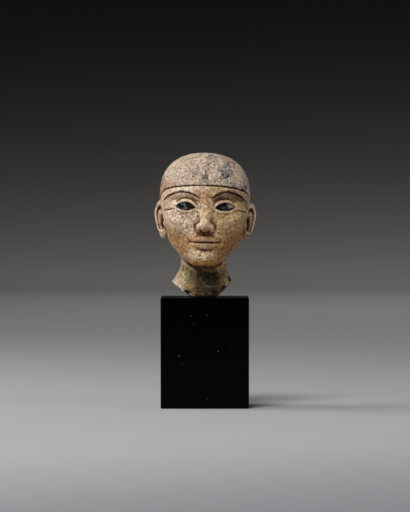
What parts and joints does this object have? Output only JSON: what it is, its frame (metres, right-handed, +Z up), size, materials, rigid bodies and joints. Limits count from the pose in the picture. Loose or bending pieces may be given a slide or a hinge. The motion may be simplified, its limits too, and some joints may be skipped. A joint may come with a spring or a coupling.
{
  "type": "egyptian statuette head on a display block",
  "caption": "Small carved head of a god in a close-fitting cap, broken at the neck, with dark inlaid eyes, held up on a polished black display block.",
  "frame": {"origin": "middle of the display block's underside, on the surface it stands on", "axes": "+Z up; the face looks along -Y; +X is the head's own left, the viewer's right"},
  "size_m": [0.0411, 0.0452, 0.1028],
  "materials": {
    "worn_faience": "matte",
    "eye_stone": "polished",
    "black_lacquer": "polished"
  },
  "bodies": {
    "root": {"head": "worn_faience", "left_eye_inlay": "eye_stone", "right_eye_inlay": "eye_stone", "display_block": "black_lacquer"}
  },
  "joints": []
}
